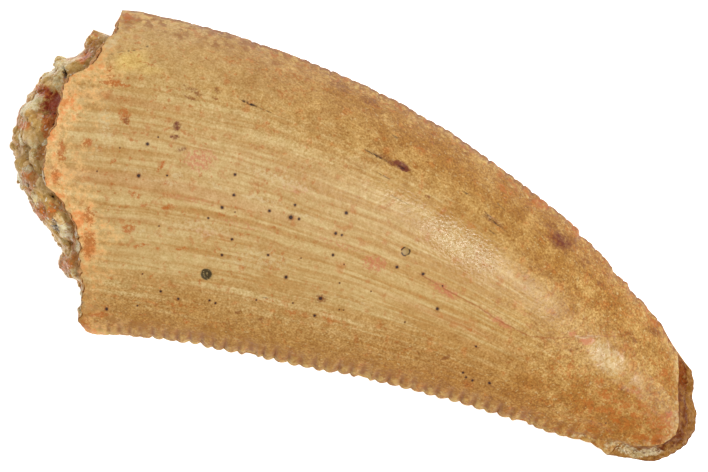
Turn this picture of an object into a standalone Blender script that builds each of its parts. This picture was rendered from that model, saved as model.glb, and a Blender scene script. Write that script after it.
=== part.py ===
"""Fossil raptor tooth, broken off at the base and the tip, lying on its flatter side.

The crown is one solid with two serrated edges and an oval socket where the pulp was. The
sandstone that fills the socket and stands out of the broken base is the second solid.
+X runs from the base to the tip, +Y from the hollow distal edge to the arched mesial edge,
and +Z from the surface that the tooth lies on to the side that shows.
"""

import math

import bmesh
import bpy
import numpy as np
from mathutils import Vector, noise

MM = 0.001  # metres in a millimetre: every size below is in millimetres

# The two edges from base to tip, through the tops of their denticles.
MESIAL_EDGE = (
    (-9.56, 4.12), (-7.0, 4.72), (-4.5, 4.99), (-2.0, 5.05), (0.5, 4.87),
    (3.0, 4.4), (5.5, 3.75), (7.5, 2.9), (9.0, 2.11), (9.87, 1.46),
)
DISTAL_EDGE = (
    (-6.42, -5.07), (-4.8, -4.58), (-2.8, -4.0), (-0.5, -3.48), (2.0, -2.93),
    (5.0, -2.46), (7.5, -2.16), (8.55, -1.95), (9.2, -2.06),
)

# Denticles: their number fixes the stations along the crown, so that each has points of its own.
DISTAL_DENTICLES = 42
STATIONS_PER_DISTAL = 3
STATIONS_PER_MESIAL = 2
STATIONS = DISTAL_DENTICLES * STATIONS_PER_DISTAL
DISTAL_NOTCH = 0.11
MESIAL_NOTCH = 0.05
CHIPPED_DENTICLES = (12, 21, 34)  # counted along the distal edge from the base
GROOVE_REACH = 0.42  # how far the gaps between distal denticles run onto the faces
DISTAL_GROOVE = 0.06
MESIAL_REACH = 0.2
MESIAL_GROOVE = 0.02
MESIAL_START = 0.06  # the mesial edge is worn smooth below this share of its length

# Points across a face, from the distal edge at -1 to the mesial edge at 1.
ACROSS = (-1, -0.955, -0.91, -0.79, -0.6, -0.36, -0.14, 0.08, 0.3, 0.5, 0.68, 0.83, 0.95, 1)

# Section: how far each face swells from the plane of the two edges, as a share of the width.
NEAR_SWELL = 0.245
FAR_SWELL = 0.19
NEAR_RIDGE = (0.25, 0.1)  # where the near face is highest, at the base and at the tip
FAR_RIDGE = (0.0, -0.1)
NEAR_FULLNESS = (2.1, 0.85)
FAR_FULLNESS = (2.8, 0.85)
TIP_DROOP = 0.42  # share of its swell that the near face loses at the tip
DROOP_START = 0.7
FACE_ARCH = 0.12  # the far face lifts off the surface between the base and the tip
REST_FLAT = 0.07  # how much of the far face is worn flat where it rests

# Where each face breaks off at the base, as (place across, distance past the line of the corners).
NEAR_BREAK = (
    (-4.86, 0), (-4.8, 0.22), (-4.5, 0.4), (-3.4, 0.36), (-2.7, 0.5), (-2.1, 0.57), (-1.66, 0.74),
    (-0.96, 1.2), (-0.55, 1.68), (0.15, 1.78), (0.75, 1.76), (1.4, 1.5), (2.4, 1.4), (2.7, 1.28),
    (3.2, 0.6), (3.9, 0.36), (4.17, 0.04), (4.86, 0),
)
FAR_BREAK = (
    (-4.86, 0), (-4.5, 0.3), (-3.6, 0.4), (-2.0, 0.75), (-0.4, 1.45), (1.0, 1.6), (2.4, 1.2),
    (3.8, 0.35), (4.86, 0),
)
BREAK_FADE = 0.24  # share of the crown over which the shape of the break dies out
BREAK_ROUGHNESS = 0.16
BREAK_GRAIN = 0.8

# Where each face ends at the broken tip, as (share across, distance past the corners).
NEAR_TIP = (
    (-1, 0), (-0.77, 0.14), (-0.68, 0.5), (-0.46, 1.0), (-0.33, 1.2), (-0.1, 1.33), (0.06, 1.22),
    (0.41, 0.78), (0.83, 0.26), (1, 0),
)
FAR_TIP = (
    (-1, 0), (-0.86, 0.53), (-0.77, 0.92), (-0.68, 1.3), (-0.36, 1.66), (-0.09, 1.8), (0.1, 1.8),
    (0.41, 1.52), (0.6, 1.12), (0.9, 0.62), (1, 0),
)
TIP_FADE = 0.2
TIP_ROWS = 6
TIP_ROUGHNESS = 0.09
TIP_GRAIN = 0.45

# Socket and the sandstone in it: half an ellipsoid inside the crown.
SOCKET_HALF_WIDTH = 3.87
SOCKET_OFF_CENTRE = 0.13
SOCKET_HALF_HEIGHT = 1.42
SOCKET_HEIGHT = 1.98  # of the middle of the socket above the surface
SOCKET_DEPTH = 4.4
SOCKET_RINGS = 8
SOCKET_GAP = 0.12
MOUTH_RECESS = 0.12

# How far the sandstone stands out past the corners of the break, as (place across, distance).
STONE_REACH = (
    (-3.6, 0.45), (-3.3, 0.5), (-3.18, 1.0), (-2.75, 1.2), (-2.4, 1.08), (-2.1, 1.12), (-1.7, 1.5),
    (-1.35, 2.05), (-0.5, 2.55), (0.1, 2.68), (0.8, 2.88), (1.6, 2.74), (2.1, 2.6), (2.4, 2.4),
    (2.75, 2.1), (3.25, 1.86), (3.38, 1.36), (3.7, 1.04), (4.2, 0.87),
)
STONE_SPREAD = 0.22  # how much wider than the socket it grows outside
STONE_SUBDIVISIONS = 4
STONE_LUMP = 0.3
STONE_LUMP_SIZE = 1.0
STONE_LUMP_MIDDLE = 0.55  # how far from a lump's centre it stops standing out, as a share of its size
STONE_GRAIN = 0.07
STONE_GRAIN_SIZE = 0.33

TOOTH_COLOUR = (0.55, 0.35, 0.14)
STONE_COLOUR = (0.36, 0.24, 0.1)


def smooth_line(points, shares):
    """Places at the given shares of a smooth line through the points."""
    points = np.array(points, float)
    knots = np.append(0, np.cumsum(np.linalg.norm(np.diff(points, axis=0), axis=1)))
    slopes = np.gradient(points, knots, axis=0)
    at = np.asarray(shares) * knots[-1]
    first = np.clip(np.searchsorted(knots, at, side="right") - 1, 0, len(knots) - 2)
    span = (knots[first + 1] - knots[first])[:, None]
    f = (at - knots[first])[:, None] / span
    return (
        points[first] * (1 + 2 * f) * (1 - f) ** 2
        + points[first + 1] * (3 - 2 * f) * f**2
        + slopes[first] * span * f * (1 - f) ** 2
        - slopes[first + 1] * span * f**2 * (1 - f)
    )


def read(table, at):
    """The value of a table of (place, value) pairs at a place between them."""
    places, values = np.array(table, float).T
    return np.interp(at, places, values)


def notch(count):
    """How deep the gap between two denticles is at a count of denticles: 1 in the gap, 0 on a top."""
    return np.abs(2 * (count - np.floor(count)) - 1) ** 3


def lens(across, ridge, fullness):
    """Height of a face over the plane of the edges: 1 on its ridge and 0 on both edges."""
    half = np.where(across > ridge, 1 - ridge, 1 + ridge)
    return (1 - (np.abs(across - ridge) / half) ** fullness[0]) ** fullness[1]


class Corners:
    """The line between the corners where a break meets the two edges, and the way out from it."""

    def __init__(self, distal, mesial, way_out):
        self.middle = (distal + mesial) / 2
        self.half = np.linalg.norm(mesial - distal) / 2
        self.along = (mesial - distal) / (2 * self.half)
        out = np.array((self.along[1], -self.along[0]))
        self.out = out * np.sign(out[0]) * way_out

    def place(self, along, out):
        return self.middle + np.multiply.outer(along, self.along) + np.multiply.outer(out, self.out)


BASE = Corners(np.array(DISTAL_EDGE[0]), np.array(MESIAL_EDGE[0]), -1)
TIP = Corners(np.array(DISTAL_EDGE[-1]), np.array(MESIAL_EDGE[-1]), 1)


def serrations():
    """Depth of the gaps at every station: (distal, mesial), 1 at the bottom of a gap."""
    s = np.linspace(0, 1, STATIONS + 1)
    distal = notch(s * DISTAL_DENTICLES)
    distal[np.isin(np.floor(s * DISTAL_DENTICLES), CHIPPED_DENTICLES)] = 1
    distal[[0, -1]] = 0
    mesial = notch(s * STATIONS / STATIONS_PER_MESIAL) * (s > MESIAL_START)
    return distal[:, None], mesial[:, None]


def crown_face(near):
    """Grid of the points of one face, stations from base to tip by places across."""
    s = np.linspace(0, 1, STATIONS + 1)
    t = np.array(ACROSS, float)
    mesial, distal = smooth_line(MESIAL_EDGE, s), smooth_line(DISTAL_EDGE, s)
    width = np.linalg.norm(mesial - distal, axis=1)[:, None]
    share = (t[None, :] + 1) / 2
    in_distal, in_mesial = serrations()
    in_distal = in_distal * np.clip(1 - share * width / GROOVE_REACH, 0, 1)
    in_mesial = in_mesial * np.clip(1 - (1 - share) * width / MESIAL_REACH, 0, 1)

    inwards = (mesial - distal) / width
    plan = distal[:, None, :] * (1 - share)[..., None] + mesial[:, None, :] * share[..., None]
    pull = in_distal * DISTAL_NOTCH - in_mesial * MESIAL_NOTCH
    plan = plan + pull[..., None] * inwards[:, None, :]
    broken = read(NEAR_BREAK if near else FAR_BREAK, t * BASE.half)
    ended = read(NEAR_TIP if near else FAR_TIP, t)
    base_fade = np.clip(1 - s / BREAK_FADE, 0, 1) ** 2
    tip_fade = np.clip(1 - (1 - s) / TIP_FADE, 0, 1) ** 2
    plan = plan + np.einsum("i,j,k->ijk", base_fade, broken, BASE.out)
    plan = plan + np.einsum("i,j,k->ijk", tip_fade, ended, TIP.out)

    groove = in_distal * DISTAL_GROOVE + in_mesial * MESIAL_GROOVE
    arch = FACE_ARCH * np.sin(math.pi * s)[:, None] - REST_FLAT
    edge_height = FAR_SWELL * width + arch
    s = s[:, None]
    if near:
        ridge = NEAR_RIDGE[0] * (1 - s) + NEAR_RIDGE[1] * s
        droop = 1 - TIP_DROOP * np.clip((s - DROOP_START) / (1 - DROOP_START), 0, 1) ** 2
        swell = NEAR_SWELL * width * droop * lens(t, ridge, NEAR_FULLNESS)
        height = edge_height + np.maximum(swell - groove, 0)
    else:
        ridge = FAR_RIDGE[0] * (1 - s) + FAR_RIDGE[1] * s
        swell = FAR_SWELL * width * lens(t, ridge, FAR_FULLNESS)
        height = np.maximum(edge_height - np.maximum(swell - groove, 0), 0)
    return np.concatenate([plan, height[..., None]], axis=2)


def in_socket(ball, gap=0.0):
    """The place in the socket that a point of a unit ball stands for, its +X half inside the crown."""
    deep, across, high = ball
    ring = math.sqrt(max(1e-9, 1 - across**2))
    turn = min(1.0, abs(deep) / ring)
    spread = STONE_SPREAD * turn if deep < 0 else 0
    along = SOCKET_OFF_CENTRE + (SOCKET_HALF_WIDTH + gap + spread) * across
    mouth = (read(NEAR_BREAK, along) + read(FAR_BREAK, along)) / 2 - MOUTH_RECESS
    if deep < 0:
        out = mouth + (max(read(STONE_REACH, along), mouth + 0.05) - mouth) * turn
    else:
        out = mouth * (1 - turn) - (SOCKET_DEPTH + gap) * ring * turn
    x, y = BASE.place(along, out)
    return Vector((x, y, SOCKET_HEIGHT + (SOCKET_HALF_HEIGHT + gap) * high))


def add_strip(mesh, one, other):
    """Faces between two rows of vertices, which may share their first or last one."""
    for a, b, c, d in zip(one, one[1:], other[1:], other):
        corners = list(dict.fromkeys((a, b, c, d)))
        if len(corners) > 2:
            mesh.faces.new(corners)


def add_broken_tip(mesh, near_row, far_row):
    """The rough fracture between the ends of the two faces."""
    rows = [near_row]
    for k in range(1, TIP_ROWS):
        share = k / TIP_ROWS
        row = [near_row[0]]
        for a, b in zip(near_row[1:-1], far_row[1:-1]):
            place = a.co.lerp(b.co, share)
            rough = noise.noise(place / TIP_GRAIN) * TIP_ROUGHNESS
            row.append(mesh.verts.new(place + Vector((*TIP.out, 0)) * rough))
        rows.append([*row, near_row[-1]])
    rows.append(far_row)
    for one, other in zip(rows, rows[1:]):
        add_strip(mesh, one, other)


def add_socket(mesh, rim):
    """The rough broken wall and the socket inside it. The rim runs round the outside."""
    rings = []
    for k in range(SOCKET_RINGS):
        turn = math.pi / 2 * k / SOCKET_RINGS
        ring = []
        for i in range(len(rim)):
            round_mouth = 2 * math.pi * i / len(rim)
            across, high = -math.cos(round_mouth), math.sin(round_mouth)
            ball = (math.sin(turn), math.cos(turn) * across, math.cos(turn) * high)
            ring.append(mesh.verts.new(in_socket(ball, SOCKET_GAP)))
        rings.append(ring)
    wall = []
    for outer, inner in zip(rim, rings[0]):
        place = outer.co.lerp(inner.co, 0.5)
        rough = noise.noise(place / BREAK_GRAIN) * BREAK_ROUGHNESS
        wall.append(mesh.verts.new(place + Vector((*BASE.out, 0)) * rough))
    rings = [rim, wall, *rings]
    for one, other in zip(rings, rings[1:]):
        add_strip(mesh, [*one, one[0]], [*other, other[0]])
    end = mesh.verts.new(in_socket((1, 0, 0), SOCKET_GAP))
    for a, b in zip(rings[-1], rings[-1][1:] + rings[-1][:1]):
        mesh.faces.new((a, b, end))


def finish_solid(name, mesh, colour, roughness):
    """Turns a bmesh in millimetres into a named object in metres with its own material."""
    bmesh.ops.recalc_face_normals(mesh, faces=mesh.faces)
    bmesh.ops.scale(mesh, vec=(MM, MM, MM), verts=mesh.verts)
    data = bpy.data.meshes.new(name)
    mesh.to_mesh(data)
    mesh.free()
    data.shade_smooth()
    data.set_sharp_from_angle(angle=math.radians(50))
    material = bpy.data.materials.new(name)
    material.use_nodes = True
    shader = material.node_tree.nodes["Principled BSDF"]
    shader.inputs["Base Color"].default_value = (*colour, 1)
    shader.inputs["Roughness"].default_value = roughness
    shader.inputs["Metallic"].default_value = 0
    data.materials.append(material)
    obj = bpy.data.objects.new(name, data)
    bpy.context.scene.collection.objects.link(obj)
    return obj


def make_tooth():
    """The crown: near and far faces, the broken tip, and the socket in the broken base."""
    mesh = bmesh.new()
    near = [[mesh.verts.new(p) for p in row] for row in crown_face(near=True)]
    far = [
        [row[0], *(mesh.verts.new(p) for p in points[1:-1]), row[-1]]
        for row, points in zip(near, crown_face(near=False))
    ]
    for face in (near, far):
        for one, other in zip(face, face[1:]):
            add_strip(mesh, one, other)
    add_broken_tip(mesh, near[-1], far[-1])
    add_socket(mesh, [*near[0], *far[0][-2:0:-1]])
    return finish_solid("tooth", mesh, TOOTH_COLOUR, 0.35)


def make_sandstone():
    """The lumpy sandstone in the socket: smooth where the socket holds it and rough outside."""
    mesh = bmesh.new()
    bmesh.ops.create_icosphere(mesh, subdivisions=STONE_SUBDIVISIONS, radius=1)
    for vertex in mesh.verts:
        ball = vertex.co.normalized()
        place = in_socket(ball)
        outside = max(0.0, -ball.x)
        nearest = noise.voronoi(place / STONE_LUMP_SIZE)[0][0]
        lump = (STONE_LUMP_MIDDLE - nearest) * STONE_LUMP + noise.noise(place / STONE_GRAIN_SIZE) * STONE_GRAIN
        way = Vector((*BASE.out * outside, ball.z)).normalized()
        vertex.co = place + way * lump * min(1.0, 2 * outside)
    return finish_solid("sandstone_plug", mesh, STONE_COLOUR, 0.7)


def main():
    for obj in list(bpy.data.objects):
        bpy.data.objects.remove(obj)
    make_tooth()
    make_sandstone()


main()
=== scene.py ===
"""How the fossil raptor tooth looks: enamel, broken edges and the sandstone in its base.

Lengths are in millimetres, in the part's own frame, until a mesh is built in metres.
Places taken from the photograph are in its pixels, from its top left corner.
"""

import itertools
import math

import bmesh
import bpy
import numpy as np
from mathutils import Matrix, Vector, noise


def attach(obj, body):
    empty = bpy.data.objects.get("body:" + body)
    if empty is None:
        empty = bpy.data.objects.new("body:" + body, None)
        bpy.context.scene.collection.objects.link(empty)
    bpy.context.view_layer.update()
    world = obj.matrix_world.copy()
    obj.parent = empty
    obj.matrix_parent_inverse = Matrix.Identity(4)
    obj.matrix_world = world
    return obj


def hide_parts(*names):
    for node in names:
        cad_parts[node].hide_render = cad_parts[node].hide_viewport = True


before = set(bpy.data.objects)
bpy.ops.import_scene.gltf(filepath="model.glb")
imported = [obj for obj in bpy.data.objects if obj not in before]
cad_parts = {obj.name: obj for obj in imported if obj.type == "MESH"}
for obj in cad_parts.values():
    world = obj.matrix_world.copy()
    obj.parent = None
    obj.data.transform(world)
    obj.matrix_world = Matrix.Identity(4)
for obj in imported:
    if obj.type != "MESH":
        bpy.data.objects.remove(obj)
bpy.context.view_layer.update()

MM = 0.001  # metres in a millimetre

# The photograph: its middle, the size of a pixel, and how far the tooth lies turned in it.
PHOTO_MIDDLE = (354, 236)
ORIGIN_IN_PHOTO = (357.61, 266.38)
PIXEL = 0.03
TURN = math.radians(24)
LENS = 300
SENSOR = 36
FOCUS_HEIGHT = 1.5
RIGHT = np.array((math.cos(TURN), math.sin(TURN), 0))
UP = np.array((-math.sin(TURN), math.cos(TURN), 0))
CAMERA_DISTANCE = 2 * PHOTO_MIDDLE[0] * PIXEL * LENS / SENSOR

# The crown, as the solids have it.
MESIAL_EDGE = (
    (-9.56, 4.12), (-7.0, 4.72), (-4.5, 4.99), (-2.0, 5.05), (0.5, 4.87),
    (3.0, 4.4), (5.5, 3.75), (7.5, 2.9), (9.0, 2.11), (9.87, 1.46),
)
DISTAL_EDGE = (
    (-6.42, -5.07), (-4.8, -4.58), (-2.8, -4.0), (-0.5, -3.48), (2.0, -2.93),
    (5.0, -2.46), (7.5, -2.16), (8.55, -1.95), (9.2, -2.06),
)
DISTAL_DENTICLES = 42
MESIAL_DENTICLES = 63
CHIPPED_DENTICLES = (12, 21, 34)
CROWDED = (1.6, 0.06)  # the denticles that the base has more than elsewhere, and how fast they thin out
DISTAL_WEAR = (
    (0, 0), (0.06, 0.06), (0.2, 0.08), (0.215, 0), (0.75, 0), (0.86, -0.02), (0.93, -0.09), (1, -0.08),
)
MESIAL_WEAR = ((0, -0.02), (0.03, -0.07), (0.08, -0.03), (0.15, 0), (0.9, 0), (0.95, -0.07), (1, -0.06))
WEAR_REACH = 0.6
FAR_TIP_PROUD = ((-1, 0.05), (-0.1, 0.05), (0.1, -0.01), (0.45, -0.01), (0.7, 0.06), (1, 0.07))
MESIAL_START = 0.06
MESIAL_NICKS = ((581, 0.1), (594, 0.06), (615, 0.1), (630, 0.07), (649, 0.05))  # photo x and depth of each
NICK_LENGTH = 13  # photo pixels
NEAR_SWELL = 0.245
FAR_SWELL = 0.19
NEAR_RIDGE = (0.25, 0.1)
FAR_RIDGE = (0.0, -0.1)
NEAR_FULLNESS = (2.1, 0.85)
FAR_FULLNESS = (2.8, 0.85)
TIP_DROOP = 0.42
DROOP_START = 0.7
FACE_ARCH = 0.12
REST_FLAT = 0.07  # how far the far face reaches below the floor before it is cut flat there
NEAR_BREAK = (
    (-4.86, 0), (-4.8, 0.22), (-4.5, 0.4), (-3.4, 0.36), (-2.7, 0.5), (-2.1, 0.57), (-1.66, 0.74),
    (-0.96, 1.2), (-0.55, 1.68), (0.15, 1.78), (0.75, 1.76), (1.4, 1.5), (2.4, 1.4), (2.7, 1.28),
    (3.2, 0.6), (3.9, 0.36), (4.17, 0.04), (4.86, 0),
)
FAR_BREAK = (
    (-4.86, 0), (-4.5, 0.3), (-3.6, 0.4), (-2.0, 0.75), (-0.4, 1.45), (1.0, 1.6), (2.4, 1.2),
    (3.8, 0.35), (4.86, 0),
)
BREAK_FADE = 0.24
NEAR_TIP = (
    (-1, 0), (-0.77, 0.14), (-0.68, 0.5), (-0.46, 1.0), (-0.33, 1.2), (-0.1, 1.33), (0.06, 1.22),
    (0.41, 0.78), (0.83, 0.26), (1, 0),
)
FAR_TIP = (
    (-1, 0), (-0.86, 0.53), (-0.77, 0.92), (-0.68, 1.3), (-0.36, 1.66), (-0.09, 1.8), (0.1, 1.8),
    (0.41, 1.52), (0.6, 1.12), (0.9, 0.62), (1, 0),
)
TIP_FADE = 0.2
SOCKET_HALF_WIDTH = 3.87
SOCKET_OFF_CENTRE = 0.13
SOCKET_HALF_HEIGHT = 1.42
SOCKET_HEIGHT = 1.98
SOCKET_DEPTH = 4.4
MOUTH_RECESS = 0.12
STONE_REACH = (
    (-3.6, 0.45), (-3.3, 0.5), (-3.18, 1.0), (-2.75, 1.24), (-2.4, 1.1), (-2.1, 1.32), (-1.7, 1.76),
    (-1.35, 2.14), (-0.5, 2.64), (0.1, 2.75), (0.8, 2.86), (1.6, 2.7), (2.1, 2.58), (2.4, 2.4),
    (2.75, 2.06), (3.2, 1.76), (3.36, 1.3), (3.7, 0.98), (4.2, 0.8),
)
STONE_SPREAD = 0.22

# The fine surface. Stations run from base to tip, columns across a face.
STATIONS = DISTAL_DENTICLES * 9
NEAR_COLUMNS = 150
FAR_COLUMNS = NEAR_COLUMNS // 2
COLUMN_CROWDING = 0.5
CROWN_LENGTH = 20.0
STREAK_WIDTH = 8  # how wide the crown is in the coordinates of its growth lines and streaks
TIP_RINGS = 16
WALL_RINGS = 10
SOCKET_RINGS = 8
ENAMEL, BROKEN = 0, 1  # the numbers of the tooth's two materials
DISTAL_NOTCH = 0.1
MESIAL_NOTCH = 0.07
GROOVE_REACH = 0.5
DISTAL_GROOVE = 0.07
MESIAL_REACH = 0.25
MESIAL_GROOVE = 0.03
CHIP_DEPTH = 0.12
GROOVE_DEPTH = 0.05
TOOTH_SHARP = 50  # edges sharper than this many degrees aren't smoothed
STONE_SHARP = 60

# Layers of noise, each as (size, height, how far it is moved so that it is unlike the others).
UNEVENNESS = ((2.6, 0.03, 0), (0.9, 0.012, 20), (0.3, 0.004, 40), (0.13, 0.003, 60))
GROWTH_LINES = ((0.22, 0.006, 0), (0.11, 0.004, 9))
CRUMBLED_RIM = ((0.2, 0.04, 0), (0.1, 0.02, 0))
WORN_SKIN = ((0.3, 0.012, 0), (0.14, 0.008, 0))
FRACTURE_LUMPS = ((0.45, 0.14, 0), (0.18, 0.09, 0), (0.09, 0.06, 0))
FRACTURE_RELIEF = ((0.2, 0.06, 8), (0.1, 0.04, 8))
WALL_LUMPS = ((0.5, 0.1, 0), (0.2, 0.08, 0), (0.1, 0.05, 0))
STONE_GRIT = ((0.4, 0.1, 0), (0.16, 0.02, 0), (0.08, 0.015, 0))

# The same along a line, each as (size, height, seed).
EDGE_UNEVEN = ((0.045, 0.035, 31), (0.017, 0.02, 33))
BREAK_RAGGED = ((0.55, 0.07, 41), (0.22, 0.08, 43), (0.11, 0.06, 47))
TIP_RAGGED = ((0.22, 0.06, 51), (0.09, 0.05, 53))

# Light and gloss.
BRIGHTNESS = 1.21  # how much brighter than its colour the lights make a surface
GLOSS = (0.026, 0.024, 0.021)  # what the surface mirrors of the world and the lights
GLOSS_TINT = (1.0, 0.96, 0.88, 1.0)  # the warm cast of that gloss
GRAIN_TINT = (0.76, 1.08, 1.85)  # how much more a grain changes green and blue than red
ENAMEL_IOR = 1.39
BROKEN_IOR = 1.12
GLASSY_IOR = 1.3
BROKEN_ROUGHNESS = 0.45


def smooth_line(points, shares):
    """Places at the given shares of a smooth line through the points."""
    points = np.array(points, float)
    knots = np.append(0, np.cumsum(np.linalg.norm(np.diff(points, axis=0), axis=1)))
    slopes = np.gradient(points, knots, axis=0)
    at = np.asarray(shares) * knots[-1]
    first = np.clip(np.searchsorted(knots, at, side="right") - 1, 0, len(knots) - 2)
    span = (knots[first + 1] - knots[first])[:, None]
    f = (at - knots[first])[:, None] / span
    return (
        points[first] * (1 + 2 * f) * (1 - f) ** 2
        + points[first + 1] * (3 - 2 * f) * f**2
        + slopes[first] * span * f * (1 - f) ** 2
        - slopes[first + 1] * span * f**2 * (1 - f)
    )


def read(table, at):
    """The value of a table of (place, value) pairs at a place between them."""
    places, values = np.array(table, float).T
    return np.interp(at, places, values)


def rise(value, low, high):
    """0 below low, 1 above high, and a smooth step between them."""
    share = np.clip((value - low) / (high - low), 0, 1)
    return share * share * (3 - 2 * share)


class Grain:
    """Smooth noise that is the same each run, for whole arrays of points, about -1 to 1."""

    CELLS = 256
    STRENGTH = 1.6

    def __init__(self, seed):
        rng = np.random.default_rng(seed)
        self.order = rng.permutation(self.CELLS)
        ways = rng.normal(size=(self.CELLS, 3))
        self.ways = ways / np.linalg.norm(ways, axis=1)[:, None]

    def pick(self, cell):
        """A whole number for each cell of space."""
        a, b, c = np.moveaxis(cell % self.CELLS, -1, 0)
        order = self.order
        return order[(order[(order[a] + b) % self.CELLS] + c) % self.CELLS]

    def __call__(self, points, size):
        at = np.asarray(points, float) / size
        cell = np.floor(at).astype(int)
        inside = at - cell
        fade = inside**3 * (inside * (inside * 6 - 15) + 10)
        total = np.zeros(at.shape[:-1])
        for corner in itertools.product((0, 1), repeat=3):
            value = ((inside - corner) * self.ways[self.pick(cell + corner)]).sum(-1)
            total += value * np.where(corner, fade, 1 - fade).prod(-1)
        return total * self.STRENGTH

    def lumps(self, points, size):
        """Distance to the nearest of scattered centres in cells, and a number for that centre."""
        at = np.asarray(points, float) / size
        cell = np.floor(at).astype(int)
        nearest = np.full(at.shape[:-1], 9.0)
        which = np.zeros(at.shape[:-1], int)
        for corner in itertools.product((-1, 0, 1), repeat=3):
            number = self.pick(cell + corner)
            centre = cell + corner + 0.5 + self.ways[number] * 0.45
            distance = np.linalg.norm(at - centre, axis=-1)
            closer = distance < nearest
            nearest = np.where(closer, distance, nearest)
            which = np.where(closer, number, which)
        return nearest, which / self.CELLS


GRAIN = Grain(7)


def layered(points, layers):
    """Layers of noise added up."""
    return sum(height * GRAIN(points + shift, size) for size, height, shift in layers)


def stack(*columns):
    """An array of points from arrays of their coordinates."""
    return np.stack(np.broadcast_arrays(*columns), axis=-1)


def wobble(at, size, seed):
    """Noise along a line."""
    return GRAIN(stack(at, np.full_like(at, seed), np.zeros_like(at)), size)


def wobbles(at, layers, shift=0):
    """Layers of noise along a line added up."""
    return sum(height * wobble(at, size, seed + shift) for size, height, seed in layers)


def lens(across, ridge, fullness):
    """Height of a face over the plane of the edges: 1 on its ridge and 0 on both edges."""
    half = np.where(across > ridge, 1 - ridge, 1 + ridge)
    return (1 - (np.abs(across - ridge) / half) ** fullness[0]) ** fullness[1]


class Corners:
    """The line between the corners where a break meets the two edges, and the way out from it."""

    def __init__(self, distal, mesial, way_out):
        self.middle = (distal + mesial) / 2
        self.half = np.linalg.norm(mesial - distal) / 2
        self.along = (mesial - distal) / (2 * self.half)
        out = np.array((self.along[1], -self.along[0]))
        self.out = out * np.sign(out[0]) * way_out

    def place(self, along, out):
        return self.middle + along[..., None] * self.along + out[..., None] * self.out


BASE = Corners(np.array(DISTAL_EDGE[0]), np.array(MESIAL_EDGE[0]), -1)
TIP = Corners(np.array(DISTAL_EDGE[-1]), np.array(MESIAL_EDGE[-1]), 1)


def gaps(s, denticles, sharpness, seed):
    """How deep the gap between two denticles is at each station, with uneven denticles."""
    count = s * denticles + CROWDED[0] * (1 - np.exp(-s / CROWDED[1]))
    count = count + 0.16 * wobble(count, 1.7, seed)
    profile = np.abs(2 * (count - np.floor(count)) - 1) ** sharpness
    height = 0.8 + 0.35 * wobble(np.floor(count), 1.3, seed + 5)
    return profile * np.clip(height, 0.45, 1.15)


def distal_gaps(s):
    return gaps(s, DISTAL_DENTICLES, 2.2, 3) * rise(s, 0.0, 0.03)


def worn_gaps(s):
    """The distal gaps as deep as wear and the chipped denticles leave them."""
    depth = distal_gaps(s) * (0.35 + 0.65 * rise(s, 0.02, 0.16)) * (1 - 0.6 * rise(s, 0.8, 0.93))
    for number in CHIPPED_DENTICLES:
        middle = (number + 0.5) / DISTAL_DENTICLES
        chip = 1 - rise(np.abs(s - middle) * DISTAL_DENTICLES, 0.35, 0.7)
        depth = np.maximum(depth, 0.8 * chip)
    return depth


def mesial_gaps(s):
    depth = gaps(s, MESIAL_DENTICLES, 4, 11)
    return depth * (0.7 + 0.5 * wobble(s, 0.07, 13)) * rise(s, MESIAL_START, MESIAL_START + 0.06)


def mesial_nicks(edge):
    """How deep the larger nicks are along the mesial edge: a step in, and a slow return to the tip."""
    shown = in_photo(np.column_stack((edge, np.full(len(edge), SOCKET_HEIGHT))))[:, 0]
    depth = np.zeros(len(edge))
    for x, deep in MESIAL_NICKS:
        past = shown - x
        depth = np.maximum(depth, deep * rise(past, -1.0, 1.5) * np.clip(1 - past / NICK_LENGTH, 0, 1))
    return depth


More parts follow.
